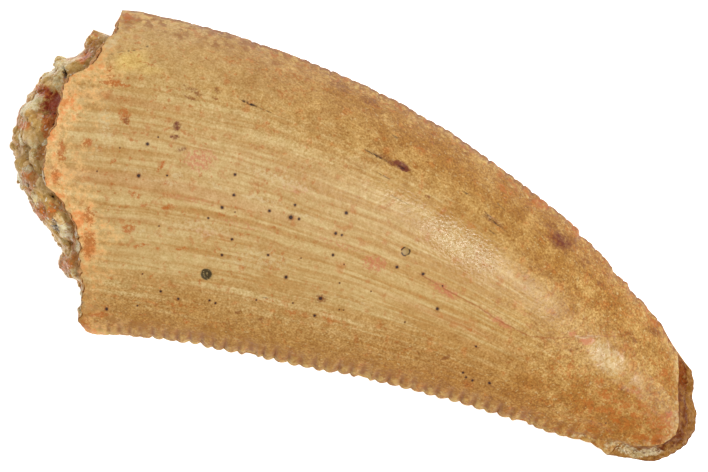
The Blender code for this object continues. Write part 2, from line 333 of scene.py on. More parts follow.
class Face:
    """One side of the crown as a grid of points, stations by columns, with its measures."""

    def __init__(self, near, columns):
        self.near = near
        u = np.linspace(-1, 1, columns + 1)
        self.t = (1 - COLUMN_CROWDING) * u + COLUMN_CROWDING * np.sin(math.pi / 2 * u)
        self.stations = np.linspace(0, 1, STATIONS + 1)
        self.distal = smooth_line(DISTAL_EDGE, self.stations)
        self.mesial = smooth_line(MESIAL_EDGE, self.stations)
        self.width = np.linalg.norm(self.mesial - self.distal, axis=1)[:, None]
        self.s, self.share = np.meshgrid(self.stations, (self.t + 1) / 2, indexing="ij")
        self.from_distal, self.from_mesial = self.share * self.width, (1 - self.share) * self.width
        self.broken = self.break_line(self.t * BASE.half)
        self.base_fade = np.clip(1 - self.stations / BREAK_FADE, 0, 1) ** 2
        self.find_gaps()
        self.points = np.concatenate([self.plan(), self.height()[..., None]], axis=2)

    def break_line(self, along):
        """How far the face reaches past the corners of the base."""
        out = read(NEAR_BREAK if self.near else FAR_BREAK, along)
        rough = wobbles(along, BREAK_RAGGED, self.near)
        return out + rough * rise(BASE.half - np.abs(along), 0, 0.5)

    def tip_line(self, t):
        """How far the face reaches past the corners of the tip."""
        out = read(NEAR_TIP if self.near else FAR_TIP, t)
        rough = wobbles(t, TIP_RAGGED, self.near)
        rough = 0.35 * rough if self.near else rough + read(FAR_TIP_PROUD, t)
        return out + rough * rise(1 - np.abs(t), 0, 0.15)

    def find_gaps(self):
        """How deep the gaps between the denticles are at each point, and how strongly they are painted
        darker, with brown stain and painted shade.
        """
        station = self.s - self.base_fade[:, None] * self.broken / CROWN_LENGTH
        reach = GROOVE_REACH * (1 + 0.25 * wobble(self.stations, 0.02, 21))[:, None]
        beside = np.clip(1 - self.from_distal / reach, 0, 1)
        self.in_distal = worn_gaps(station) * beside
        self.in_mesial = mesial_gaps(station) * np.clip(1 - self.from_mesial / MESIAL_REACH, 0, 1)
        # How dark the gaps are painted: brown stain and painted shade in the grooves between the denticles.
        self.stained = distal_gaps(station) * beside + self.in_mesial

    def pull(self):
        """How far gaps, wear and nicks draw each point from the distal to the mesial edge."""
        nick = np.clip(wobbles(self.stations, EDGE_UNEVEN), -0.02, None)[:, None]
        pull = self.in_distal * DISTAL_NOTCH - self.in_mesial * MESIAL_NOTCH
        worn = nick + read(DISTAL_WEAR, self.stations)[:, None]
        pull = pull + worn * np.clip(1 - self.from_distal / WEAR_REACH, 0, 1)
        nick = nick + (mesial_nicks(self.mesial) + read(MESIAL_WEAR, self.stations))[:, None]
        return pull - nick * np.clip(1 - self.from_mesial / WEAR_REACH, 0, 1)

    def plan(self):
        """The points seen from above, with the worn edges and both broken ends."""
        share = self.share[..., None]
        plan = self.distal[:, None, :] * (1 - share) + self.mesial[:, None, :] * share
        inwards = (self.mesial - self.distal) / self.width
        plan = plan + self.pull()[..., None] * inwards[:, None, :]
        tip_fade = np.clip(1 - (1 - self.stations) / TIP_FADE, 0, 1) ** 2
        plan = plan + np.einsum("i,j,k->ijk", self.base_fade, self.broken, BASE.out)
        return plan + np.einsum("i,j,k->ijk", tip_fade, self.tip_line(self.t), TIP.out)

    def height(self):
        """The height of each point: an arched plane of the edges and the swell of the face on it."""
        s, t = self.stations[:, None], self.t
        groove = self.in_distal * DISTAL_GROOVE + self.in_mesial * MESIAL_GROOVE
        arch = FACE_ARCH * np.sin(math.pi * s) - REST_FLAT
        edge = FAR_SWELL * self.width + arch
        if self.near:
            ridge = NEAR_RIDGE[0] * (1 - s) + NEAR_RIDGE[1] * s
            droop = 1 - TIP_DROOP * np.clip((s - DROOP_START) / (1 - DROOP_START), 0, 1) ** 2
            swell = NEAR_SWELL * self.width * droop * lens(t, ridge, NEAR_FULLNESS)
            return edge + np.maximum(swell - groove, 0)
        ridge = FAR_RIDGE[0] * (1 - s) + FAR_RIDGE[1] * s
        swell = FAR_SWELL * self.width * lens(t, ridge, FAR_FULLNESS)
        return edge - np.maximum(swell - groove, 0)

    def normals(self):
        """Directions straight out of the face."""
        across = np.gradient(self.points, axis=1)
        along = np.gradient(self.points, axis=0)
        out = np.cross(along, across) * (1 if self.near else -1)
        return out / np.linalg.norm(out, axis=-1)[..., None]

    def push(self, depth):
        """Moves the points in by a depth that dies out at the edges, and never below the floor."""
        inner = rise(self.from_distal, 0, 0.25) * rise(self.from_mesial, 0, 0.2)
        self.points = self.points - self.normals() * (depth * inner)[..., None]
        self.points[..., 2] = np.maximum(self.points[..., 2], 0)


def in_photo(points):
    """Where points of the tooth show in the photograph."""
    turned = stack(points[..., :2] @ RIGHT[:2], points[..., :2] @ UP[:2])
    middle = np.array(PHOTO_MIDDLE, float)
    axis = (middle - ORIGIN_IN_PHOTO) * (PIXEL, -PIXEL)
    depth = (CAMERA_DISTANCE + FOCUS_HEIGHT - points[..., 2]) / CAMERA_DISTANCE
    return middle + (turned - axis) / depth[..., None] / (PIXEL, -PIXEL)


# Marks on the near face, as (x, y, half length, half width, degrees clockwise, strength) in the photograph.
MARK_WAVER = 2.2  # how far the outlines of marks stray, in photo pixels
ORANGE_MARKS = (
    (127, 17, 6, 3, 95, 0.9), (115, 84, 17, 2.2, 8, 0.9), (125, 115, 9, 6, 70, 0.8),
    (142, 78, 4, 3, 70, 0.7), (111, 77, 4, 3, 0, 0.6), (110, 66, 6, 3, 120, 0.5),
    (113, 161, 5, 2, 115, 0.8), (161, 166, 7, 1.8, 125, 0.8), (134, 194, 7, 4, 20, 0.6),
    (144, 204, 5, 3, 0, 0.5), (169, 207, 8, 2, -10, 0.9), (128, 228, 7, 4, 0, 0.6),
    (140, 245, 10, 1.8, 0, 0.6), (181, 250, 9, 1.8, 0, 0.6), (88, 143, 5, 4, 0, 0.9),
    (540, 204, 10, 4, 25, 0.8), (576, 230, 8, 4, 50, 0.6), (604, 393, 8, 5, 30, 0.45),
    (609, 411, 14, 4, 12, 0.45), (615, 419, 6, 4, 20, 0.7), (633, 415, 4, 3, 0, 0.7),
    (624, 405, 8, 6, 30, 0.4), (590, 405, 4, 10, 0, 0.4), (652, 423, 9, 6, 20, 0.5),
    (664, 426, 10, 12, 0, 0.55), (593, 428, 9, 8, 0, 0.35), (640, 438, 12, 6, 10, 0.4),
    (666, 376, 5, 10, 0, 0.4), (600, 381, 7, 4, 0, 0.4), (636, 392, 9, 6, 20, 0.35),
    (645, 408, 16, 8, 30, 0.3), (630, 425, 16, 8, 10, 0.3), (612, 400, 16, 8, 30, 0.3),
    (470, 330, 14, 3, 30, 0.3), (262, 300, 20, 3, 8, 0.3), (330, 320, 14, 4, 12, 0.3),
    (290, 312, 10, 3, 8, 0.35), (180, 305, 20, 3, 4, 0.35), (98, 314, 14, 2, 0, 0.7),
    (420, 150, 9, 5, 30, 0.4), (505, 190, 12, 5, 32, 0.4), (230, 60, 14, 4, 18, 0.3),
    (300, 78, 14, 4, 20, 0.3), (89, 216, 5, 10, 0, 0.8), (89, 245, 7, 13, 0, 0.9),
    (62, 152, 5, 12, 0, 0.6), (56, 176, 5, 9, 0, 0.7), (86, 325, 5, 9, -20, 0.45),
    (657, 440, 8, 5, -15, 1.0),
)
BROWN_MARKS = (
    (192, 90, 10, 1.8, 25, 0.8), (191, 97, 9, 2, 22, 0.6), (177, 126, 4, 4, 0, 0.9),
    (175, 137, 4, 3, 0, 0.9), (181, 148, 6, 3, 0, 0.6), (218, 90, 4, 2.5, 30, 0.5),
    (215, 98, 3, 4, 0, 0.4), (225, 33, 13, 4, 18, 0.7), (200, 27, 8, 3, 15, 0.4),
    (340, 86, 12, 4, 25, 0.5), (370, 101, 12, 4, 28, 0.6), (562, 241, 14, 9, 20, 1.0),
    (402, 166, 9, 4, 30, 1.0), (390, 161, 20, 2.5, 30, 0.7), (445, 358, 5, 1.6, -40, 0.8),
    (429, 195, 3, 2, 0, 0.6), (321, 299, 6, 4, 0, 0.7), (126, 120, 4, 3, 60, 0.9),
    (658, 441, 5, 3, -15, 0.5), (654, 331, 6, 4, 40, 0.8), (635, 340, 6, 3, 30, 0.6),
    (626, 334, 9, 1.6, -5, 0.6), (571, 350, 3, 2, 0, 0.6), (575, 434, 7, 3, 20, 0.7),
    (551, 226, 8, 5, 40, 0.5), (583, 262, 7, 6, 40, 0.4), (600, 284, 8, 5, 50, 0.35),
    (640, 455, 12, 3, 12, 0.6), (476, 346, 5, 2, 30, 0.4), (262, 319, 5, 2, 0, 0.5),
    (238, 312, 5, 2, 0, 0.5), (494, 222, 14, 3, 34, 0.4),
)
PINK_MARKS = (
    (200, 160, 17, 12, 0, 0.55), (587, 341, 7, 4, 8, 1.0), (669, 416, 3, 4.5, 10, 1.0),
    (374, 264, 13, 8, 10, 0.6), (445, 290, 20, 5, 33, 0.6), (500, 322, 16, 4, 33, 0.5),
    (300, 190, 24, 5, 18, 0.3), (190, 200, 30, 4, 12, 0.3), (245, 225, 40, 5, 14, 0.25),
    (206, 232, 20, 3, 10, 0.3), (574, 334, 6, 3, 0, 0.6), (340, 245, 30, 5, 18, 0.25),
)
# White streaks and flakes; the soft patches at (462, 243), (425, 212) and (606, 358) on the polished ridge
# are painted highlights.
WHITE_AND_HIGHLIGHT_MARKS = (
    (219, 186, 15, 1.6, 22, 0.8), (260, 199, 21, 2, 16, 0.9), (177, 175, 6, 3, 10, 0.7),
    (589, 336.5, 13, 1.1, -2, 1.0), (112, 43, 8, 4.5, -42, 1.0), (651, 450, 14, 2.6, -6, 1.0),
    (106, 125, 26, 8, 85, 0.35), (95, 150, 10, 14, 0, 0.25), (165, 182, 20, 2.2, 12, 0.5),
    (300, 215, 30, 2, 16, 0.5), (150, 232, 36, 2, 7, 0.4), (230, 262, 40, 2, 12, 0.4),
    (280, 180, 40, 6, 20, 0.4), (130, 170, 24, 2, 8, 0.4), (420, 330, 30, 2.2, 24, 0.25),
    (350, 300, 36, 2.2, 18, 0.25), (462, 243, 44, 16, 36, 0.44), (606, 358, 20, 11, 46, 0.7),
    (425, 212, 24, 10, 32, 0.24), (260, 258, 40, 10, 12, 0.3), (200, 228, 40, 10, 8, 0.3),
)
WARM_MARKS = ((131, 61, 17, 10, -14, 1.0), (150, 70, 12, 5, 5, 0.5))
PURPLE_MARKS = (
    (403, 167, 8, 4, 30, 1.0), (396, 163, 8, 3, 30, 0.8), (562, 241, 11, 7, 30, 0.5),
    (177, 126, 3.5, 3.5, 0, 0.8), (175, 137, 3, 2.5, 0, 0.7), (655, 441, 6, 3, -15, 0.2),
    (191, 97, 7, 1.4, 22, 0.3),
)
POLISHED = (
    (460, 240, 56, 28, 36, 0.9), (608, 358, 26, 15, 48, 1.0), (634, 384, 14, 9, 50, 0.8),
    (400, 194, 44, 18, 32, 0.6), (290, 180, 60, 16, 20, 0.2), (540, 300, 40, 16, 42, 0.35),
)
CHIPS = ((616, 447, 17, 5.5, 16, 0.7), (646, 454, 14, 4, -4, 0.7), (582, 437, 12, 3, 14, 0.6))
GROOVES = (
    (378, 156, 17, 1.6, 30, 0.7), (403, 167, 7, 3, 30, 1.0), (249, 103.3, 11, 1.9, 24, 1.0),
    (494, 221, 15, 1.5, 36, 0.7),
)

# Marks on the broken edge of the wall and on the fracture of the tip.
WALL_PALE = (
    (44, 178, 5, 13, 0, 1.0), (76, 246, 5, 14, 0, 1.0), (112, 42, 8, 5, -42, 1.0),
    (80, 300, 4, 18, 0, 0.9),
)
# Painted shade: dark red-brown in the recess between the enamel's edge and the fracture's outer rim.
TIP_RECESS_SHADE = ((681, 373, 4, 13, 0, 0.8), (684, 384, 3, 6, 0, 0.6))
TIP_PALE = ((646, 453, 16, 4, -6, 1.0), (626, 449, 10, 4, 6, 0.7))
TIP_TAN = (
    (616, 450, 26, 9, 12, 1.0), (688, 368, 4, 12, 0, 0.6), (691, 405, 5, 18, 0, 0.5),
    (670, 452, 18, 6, -30, 0.6),
)

# How strongly the rim of the base is stained, as (share across from the distal edge, strength).
RIM_STAIN = (
    (0, 0.9), (0.05, 0.5), (0.1, 0.15), (0.2, 0.5), (0.28, 1), (0.78, 1), (0.86, 0.5), (0.9, 0.1), (1, 0.4),
)

# Dark cracks and black specks, with sharper edges. A speck is (x, y, radius).
CRACKS = (
    (249, 103.3, 10, 1.3, 24, 1.0), (266, 110.5, 10, 0.7, 22, 0.5), (376, 155.5, 15, 1.1, 28, 0.85),
    (401, 167, 6, 1.4, 30, 0.8), (384, 176, 11, 0.7, 28, 0.5), (400, 200, 15, 0.6, 29, 0.4),
    (395, 136.5, 4.5, 0.9, 30, 0.6), (494, 222, 15, 0.9, 38, 0.8), (488, 215, 6, 1.0, 40, 0.6),
    (501.5, 207, 8, 0.9, 43, 0.5), (492, 232, 5, 0.8, 36, 0.5), (467, 194, 5, 1, 32, 0.7),
    (110, 54.2, 5, 0.7, 0, 0.35), (121, 51.8, 3.5, 0.7, -8, 0.5), (128.6, 51, 1.4, 0.9, -5, 0.5),
    (133.5, 50.2, 2.2, 0.7, -5, 0.6), (141, 48.5, 2.4, 0.8, -12, 0.45), (147, 46.4, 2, 0.8, -20, 0.6),
    (265, 297.6, 4, 0.7, 10, 0.6),
)
HAIRLINE = (
    (418, 273), (440, 286), (463, 299), (478, 306.5), (496, 319), (516, 329.5), (530, 336.5),
    (555, 338.4), (573, 337), (599, 336), (619, 336.5),
)
HAIRLINE_WIDTH = 0.9
HAIRLINE_STRENGTH = 0.55
SPECKS = (
    (147.5, 144, 2.2), (138.6, 175.7, 2.5), (167, 175.5, 1.3), (235, 174.6, 1.9), (234, 195, 2),
    (222, 207.4, 2.1), (208.4, 218, 1.4), (269.4, 210.8, 2), (290.8, 217.3, 3), (295, 205, 1.7),
    (299, 219, 1.7), (232, 239.3, 1.8), (235, 212, 0.9), (159, 226, 1), (346.3, 213, 2.2),
    (335.7, 233.4, 2), (342, 235, 1.6), (333, 255, 1.9), (344, 264.4, 0.9), (222, 255, 1.7),
    (268, 255, 1.7), (286, 277.2, 2.4), (339.6, 283, 1.1), (320.6, 298.5, 2.4), (314.7, 315.7, 1.9),
    (293, 303, 1.1), (339.3, 309.7, 1), (343.5, 310, 1), (397, 267, 2.1), (423, 274, 2.1),
    (437.5, 308.8, 2.2), (442.6, 286, 1.1), (160.6, 291.4, 1.8), (178.2, 298.8, 1.8),
    (106.5, 308.9, 2.2), (209.5, 300.4, 1.6), (215.5, 303.2, 1.6), (256.4, 300, 1.2),
    (137.4, 305.7, 1.2), (463, 372.7, 1.6), (466, 377.3, 1.4), (472.5, 380.4, 1.7),
    (489.5, 383, 1.8), (606, 423, 1), (142.5, 274, 1), (476, 346.5, 1.3), (97, 171, 1),
    (158, 137, 1), (120, 148, 0.9), (301, 258, 0.9), (371, 291, 0.9), (405, 322, 0.9),
)
GREEN_SPECK = (206.3, 274.2, 5.6)
GREY_DISC = (405.6, 251.4, 4.6)


def blots(seen, points, marks, waver=MARK_WAVER):
    """How strongly any of the marks covers each point, seen where the photograph shows it, 0 to 1."""
    wavering = seen + waver * stack(GRAIN(points, 0.3), GRAIN(points + 5, 0.3))
    most = np.zeros(seen.shape[:-1])
    for x, y, length, width, degrees, strength in marks:
        turn = math.radians(degrees)
        off = wavering - (x, y)
        along = off[..., 0] * math.cos(turn) + off[..., 1] * math.sin(turn)
        aside = off[..., 1] * math.cos(turn) - off[..., 0] * math.sin(turn)
        most = np.maximum(most, strength * (1 - rise(np.hypot(along / length, aside / width), 0.35, 1.5)))
    return most


def nearest_in_plan(points, line):
    """Distance in plan from each point to the nearest point of a line."""
    flat = points[..., :2].reshape(-1, 2)
    least = np.full(len(flat), 99.0)
    for place in line[:, :2]:
        least = np.minimum(least, np.hypot(*(flat - place).T))
    return least.reshape(points.shape[:-1])


def surface(face):
    """Gentle unevenness and growth lines, and on the near face the cracks, pits and chips."""
    points = face.points
    sheet = np.full_like(face.s, 3.0 + face.near)
    lines = stack(face.s * CROWN_LENGTH * 0.12, face.share * STREAK_WIDTH, sheet)
    growth = layered(lines, GROWTH_LINES) * (1 - rise(face.s, 0.7, 0.9))
    depth = layered(points, UNEVENNESS) + growth
    if face.near:
        seen = in_photo(points)
        round_pits = [(x, y, radius, radius, 0, 1) for x, y, radius in (GREEN_SPECK, GREY_DISC)]
        crumbled = 1 - rise(nearest_in_plan(points, points[0]), 0.15, 0.7)
        polished = blots(seen, points, POLISHED, 0)
        worn = rise(face.s, 0.8, 0.95) * (1 - 0.9 * polished)
        depth = depth + crumbled * layered(points, CRUMBLED_RIM)
        depth = depth - 0.85 * polished * growth
        depth = depth + worn * layered(points, WORN_SKIN)
        depth = depth + CHIP_DEPTH * blots(seen, points, CHIPS) * (1 + 0.6 * GRAIN(points, 0.16))
        depth = depth + GROOVE_DEPTH * blots(seen, points, [*GROOVES, *round_pits], 0)
    face.push(depth)


near = Face(True, NEAR_COLUMNS)
far = Face(False, FAR_COLUMNS)
for side in (near, far):
    surface(side)
SEEN = in_photo(near.points)


def on_tooth(x, y):
    """The place on the near face that shows at a pixel of the photograph."""
    place = np.unravel_index(np.argmin(((SEEN - (x, y)) ** 2).sum(-1)), SEEN.shape[:2])
    off = (np.array((x, y)) - SEEN[place]) * PIXEL
    return near.points[place][:2] + RIGHT[:2] * off[0] - UP[:2] * off[1]


def in_socket(ball):
    """The place in the socket that a point of a unit ball stands for, its +X half inside the crown."""
    deep, across, high = np.moveaxis(ball, -1, 0)
    ring = np.sqrt(np.maximum(1e-9, 1 - across**2))
    turn = np.minimum(1, np.abs(deep) / ring)
    along = SOCKET_OFF_CENTRE + (SOCKET_HALF_WIDTH + np.where(deep < 0, STONE_SPREAD * turn, 0)) * across
    mouth = (read(NEAR_BREAK, along) + read(FAR_BREAK, along)) / 2 - MOUTH_RECESS
    reach = np.maximum(read(STONE_REACH, along), mouth + 0.05)
    out = np.where(deep < 0, mouth + (reach - mouth) * turn, mouth * (1 - turn) - SOCKET_DEPTH * ring * turn)
    plan = BASE.place(along, out)
    return stack(plan[..., 0], plan[..., 1], SOCKET_HEIGHT + SOCKET_HALF_HEIGHT * high)


class Skin:
    """Vertices, faces and measures of one mesh as they are gathered."""

    def __init__(self):
        self.points, self.measures, self.faces, self.paints, self.count = [], {}, [], [], 0

    def add(self, points, **measures):
        """Adds points and gives back their numbers. Measures that aren't given are 0."""
        points = np.asarray(points, float)
        numbers = self.count + np.arange(points[..., 0].size).reshape(points.shape[:-1])
        self.points.append(points.reshape(-1, 3))
        for name, values in measures.items():
            spread = np.broadcast_to(values, points.shape[:-1]).reshape(-1)
            self.measures.setdefault(name, []).append((self.count, spread))
        self.count += numbers.size
        return numbers

    def cover(self, faces, paint):
        """Adds faces, all in the material with the given number."""
        self.faces.extend(faces)
        self.paints.extend([paint] * len(faces))

    def grid(self, numbers, paint):
        """Four-sided faces over a grid of vertices, or three-sided where two of them are one."""
        a, b = numbers[:-1, :-1], numbers[1:, :-1]
        c, d = numbers[1:, 1:], numbers[:-1, 1:]
        corners = stack(a, b, c, d).reshape(-1, 4).tolist()
        self.cover([list(dict.fromkeys(four)) for four in corners], paint)

    def join(self, one, other, at_one, at_other, paint):
        """Triangles between two rows of different length, matched by a place along each."""
        i = j = 0
        faces = []
        while i < len(one) - 1 or j < len(other) - 1:
            ahead = j == len(other) - 1 or (i < len(one) - 1 and at_one[i + 1] <= at_other[j + 1])
            corners = (one[i], one[i + 1], other[j]) if ahead else (one[i], other[j + 1], other[j])
            i, j = (i + 1, j) if ahead else (i, j + 1)
            if len(set(corners)) == 3:
                faces.append([int(n) for n in corners])
        self.cover(faces, paint)

    def build(self, name, materials, sharp):
        """The object in metres, with a float attribute for each measure."""
        data = bpy.data.meshes.new(name)
        data.from_pydata(np.concatenate(self.points) * MM, [], self.faces)
        data.polygons.foreach_set("material_index", self.paints)
        for measure, runs in self.measures.items():
            values = np.zeros(self.count, np.float32)
            for start, run in runs:
                values[start:start + run.size] = run
            data.attributes.new(measure, "FLOAT", "POINT").data.foreach_set("value", values)
        mesh = bmesh.new()
        mesh.from_mesh(data)
        bmesh.ops.recalc_face_normals(mesh, faces=mesh.faces)
        mesh.to_mesh(data)
        mesh.free()
        data.shade_smooth()
        data.set_sharp_from_angle(angle=math.radians(sharp))
        for material in materials:
            data.materials.append(material)
        obj = bpy.data.objects.new(name, data)
        bpy.context.scene.collection.objects.link(obj)
        return obj


def face_measures(face):
    """What the enamel's colours depend on at each point of a face."""
    measures = {
        "along": face.s * CROWN_LENGTH,
        "across": face.share * STREAK_WIDTH + (0 if face.near else 20),
        "rim": nearest_in_plan(face.points, face.points[0]),
        "from_distal": face.from_distal,
        "from_mesial": face.from_mesial,
        # How dark the gaps between the denticles are painted, with brown stain and painted shade.
        "gap": np.sqrt(face.stained),
        "end": rise(face.s, 0.986, 0.996),
        "rim_stain": read(RIM_STAIN, face.share),
        "near_side": float(face.near),
    }
    if face.near:
        sets = {
            "orange": ORANGE_MARKS, "brown": BROWN_MARKS, "pink": PINK_MARKS, "white": WHITE_AND_HIGHLIGHT_MARKS,
            "warm": WARM_MARKS, "polish": POLISHED, "chip": CHIPS, "purple": PURPLE_MARKS,
        }
        measures |= {name: blots(SEEN, face.points, marks) for name, marks in sets.items()}
    return measures


def rough_tip(skin, near_row, far_row, near_t, far_t):
    """The fracture between the ends of the two faces, coarse and granular."""
    start, end = near.points[-1], far.points[-1]
    far_end = stack(*(np.interp(near_t, far_t, end[:, k]) for k in range(3)))
    share = np.linspace(0, 1, TIP_RINGS + 1)[1:-1, None]
    place = start + (far_end - start) * share[..., None]
    middle = rise(1 - np.abs(near_t), 0, 0.12) * np.sin(math.pi * share) ** 0.5
    place[..., :2] += (middle * layered(place, FRACTURE_LUMPS))[..., None] * TIP.out
    place[..., 2] += middle * layered(place, FRACTURE_RELIEF)
    place = place[:, 1:-1]
    seen = in_photo(place)
    sets = {"red": TIP_RECESS_SHADE, "pale": TIP_PALE, "tan": TIP_TAN}
    marks = {name: blots(seen, place, spots) for name, spots in sets.items()}
    rows = skin.add(place, depth=share * np.ones(len(near_t) - 2), **marks)
    ends = [np.concatenate((near_row[:1], row, near_row[-1:])) for row in rows]
    skin.grid(np.stack([near_row, *ends]), BROKEN)
    skin.join(ends[-1], far_row, near_t, far_t, BROKEN)


def broken_wall(skin, rim, rim_t, side):
    """The broken edge of the wall round the pulp, and the socket inside it."""
    rim_points = np.concatenate(skin.points)[rim]
    high = side * np.sqrt(np.maximum(0, 1 - rim_t**2))
    mouth = in_socket(stack(np.zeros_like(rim_t), rim_t, high))
    share = (np.linspace(0, 1, WALL_RINGS + 1)[1:])[:, None]
    place = rim_points + (mouth - rim_points) * share[..., None]
    lip = 0.09 * np.sin(math.pi * np.minimum(1, share * 2.2)) * (side > 0) * rise(1 - np.abs(rim_t), 0, 0.3)
    lumps = layered(place, WALL_LUMPS) * np.sin(math.pi * share)
    place[..., :2] += (lip + lumps)[..., None] * BASE.out
    pale = blots(in_photo(place), place, WALL_PALE) * (side > 0)
    rings = [rim, *skin.add(place, wall=1, depth=share * np.ones_like(rim_t), pale=pale)]
    for k in range(1, SOCKET_RINGS):
        turn = math.pi / 2 * k / SOCKET_RINGS
        ball = stack(math.sin(turn), math.cos(turn) * rim_t, math.cos(turn) * high)
        rings.append(skin.add(in_socket(ball), wall=1, depth=1))
    loops = np.stack(rings)
    skin.grid(np.concatenate((loops, loops[:, :1]), axis=1), BROKEN)
    end = int(skin.add(in_socket(np.array(((1.0, 0, 0),))), wall=1, depth=1)[0])
    last = loops[-1].tolist()
    skin.cover([[a, b, end] for a, b in zip(last, last[1:] + last[:1])], BROKEN)


def make_tooth(materials):
    """The tooth as one mesh: two faces that share their edge points, the fracture and the wall."""
    skin = Skin()
    near_grid = skin.add(near.points, **face_measures(near))
    measures = {name: np.broadcast_to(v, far.share.shape) for name, v in face_measures(far).items()}
    inner = skin.add(far.points[:, 1:-1], **{name: v[:, 1:-1] for name, v in measures.items()})
    far_grid = np.concatenate((near_grid[:, :1], inner, near_grid[:, -1:]), axis=1)
    skin.grid(near_grid, ENAMEL)
    skin.grid(far_grid, ENAMEL)
    near_t, far_t = 2 * near.share[0] - 1, 2 * far.share[0] - 1
    rough_tip(skin, near_grid[-1], far_grid[-1], near_t, far_t)
    rim = np.concatenate((near_grid[0], far_grid[0][-2:0:-1]))
    rim_t = np.concatenate((near_t, far_t[-2:0:-1]))
    side = np.concatenate((np.ones_like(near_t), -np.ones(len(far_t) - 2)))
    broken_wall(skin, rim, rim_t, side)
    return skin.build("tooth_surface", materials, TOOTH_SHARP)


# The sandstone: sizes, rounding and heights of its lumps, and the loose grains on it.
STONE_DETAIL = 7
STONE_LUMP = 0.3
STONE_LUMP_SIZE = 1.0
STONE_LUMP_MIDDLE = 0.55
STONE_LUMPS = ((0.42, 0.15), (0.19, 0.08))
STONE_CROWDING = 0.6  # how far the points of the stone are drawn towards its visible side
STONE_SINK = 0.06  # how far the lumps are let into the form of the solid
HOLLOW_DEPTH = 0.3
STONE_UPPER = (1.4, 2.2)  # the heights between which the stains that the photograph shows set in
STONE_WAVER = 5  # how far the outlines of those stains stray, in photo pixels
GRAINS = 130
GRAIN_DETAIL = 3
GRAIN_SIZES = (0.07, 0.2)
GRAIN_FACETS = 7
GRAIN_SINK = 0.45  # the share of a grain's size that it is sunk in the stone
GRAIN_CREASE = 0.2

# Marks on the sandstone, as (x, y, half length, half width, degrees clockwise, strength) in the photograph.
STONE_RED = (
    (51, 103, 15, 11, -40, 1.0), (44, 92, 12, 5, 10, 0.5), (84, 54, 6, 5, -30, 0.3),
    (57, 122, 9, 6, 80, 0.45),
)
STONE_ORANGE = (
    (22, 126, 7, 4, -20, 0.9), (42, 91, 12, 6, 10, 1.0), (52, 125, 16, 11, 80, 1.0),
    (84, 56, 7, 5, -20, 0.7), (28, 176, 6, 5, 30, 0.4), (42, 214, 9, 6, 20, 0.7),
    (56, 208, 7, 8, 0, 0.4), (66, 264, 10, 8, 0, 0.5), (93, 34, 4, 2, 0, 0.6),
)
STONE_PALE = (
    (60, 66, 9, 8, -45, 0.8), (54, 78, 7, 6, 0, 0.7), (58, 86, 4, 4, 0, 0.7),
    (31, 108, 5, 9, 20, 0.8), (30, 150, 8, 12, 0, 0.6), (36, 199, 7, 6, 20, 0.8),
    (61, 230, 3, 12, 10, 0.9), (76, 246, 4, 10, 0, 0.7), (74, 270, 4, 8, 0, 0.5),
)
# Black specks, and painted shadow in the small holes and in the gap between stone and enamel, as at (65,
# 73).
STONE_DARK_AND_SHADOW = (
    (65, 73, 2.5, 6, -15, 1.0), (55, 124, 2, 2, 0, 1.0), (56, 226, 4, 8, -10, 0.7),
    (58, 112, 5, 3, -30, 0.5), (53, 197, 1.5, 1.5, 0, 1.0), (24, 184, 4, 3, 20, 0.4),
)
STONE_BROWN = (
    (92, 49, 13, 6, -50, 0.9), (44, 212, 13, 9, 20, 1.0), (72, 228, 6, 9, 0, 0.9),
    (68, 245, 6, 7, 0, 0.7), (67, 267, 12, 9, 0, 0.9), (24, 182, 5, 6, 20, 0.8),
    (54, 206, 5, 5, 0, 0.5),
)


def ball_of(detail):
    """Points and faces of a unit ball with even triangles."""
    ball = bmesh.new()
    bmesh.ops.create_icosphere(ball, subdivisions=detail, radius=1)
    ways = np.array([v.co[:] for v in ball.verts])
    faces = np.array([[v.index for v in f.verts] for f in ball.faces])
    ball.free()
    return ways / np.linalg.norm(ways, axis=1)[:, None], faces


def stone_marks(points):
    """The stains of the sandstone: where the photograph shows them above, and scattered below."""
    seen = in_photo(points)
    upper = rise(points[..., 2], *STONE_UPPER)
    sets = {"red": STONE_RED, "dark": STONE_DARK_AND_SHADOW}
    marks = {name: upper * blots(seen, points, spots) for name, spots in sets.items()}
    sets = {"orange": STONE_ORANGE, "pale": STONE_PALE, "brown": STONE_BROWN}
    for number, (name, spots) in enumerate(sets.items()):
        scattered = rise(GRAIN(points + 11 * number, 0.6), 0.3, 0.6)
        marks[name] = upper * blots(seen, points, spots, STONE_WAVER) + (1 - upper) * scattered
    return marks


def stone_relief(place, marks):
    """How far the stone stands out, and for its coarse lumps the distance to their middles and numbers."""
    big = np.array([noise.voronoi(Vector(p) / STONE_LUMP_SIZE)[0][0] for p in place])
    height = (STONE_LUMP_MIDDLE - big) * STONE_LUMP
    found = [GRAIN.lumps(place, size) for size, _ in STONE_LUMPS]
    for (off_middle, _), (_, lump) in zip(found, STONE_LUMPS):
        height = height + lump * (np.sqrt(np.maximum(0, 1 - (off_middle / 0.9) ** 2)) - 0.6)
    height = height - STONE_SINK + layered(place, STONE_GRIT)
    height = height - HOLLOW_DEPTH * marks["red"] - HOLLOW_DEPTH * marks["dark"] / 2
    return height, *found[0]


def stone_body(skin):
    """The stone: smooth where the socket holds it and lumpy outside. Gives back its points and ways out."""
    ways, faces = ball_of(STONE_DETAIL)
    ways = ways - (STONE_CROWDING, 0, 0)
    ways = ways / np.linalg.norm(ways, axis=1)[:, None]
    place = in_socket(ways)
    outside = np.maximum(0, -ways[:, 0])
    out = stack(BASE.out[0] * outside, BASE.out[1] * outside, ways[:, 2])
    out = out / np.linalg.norm(out, axis=1)[:, None]
    marks = stone_marks(place)
    height, crease, cell = stone_relief(place, marks)
    place = place + out * (height * np.minimum(1, 2 * outside))[:, None]
    numbers = skin.add(place, cell=cell, crease=crease, **marks)
    skin.cover(numbers[faces].tolist(), 0)
    return place, out, outside


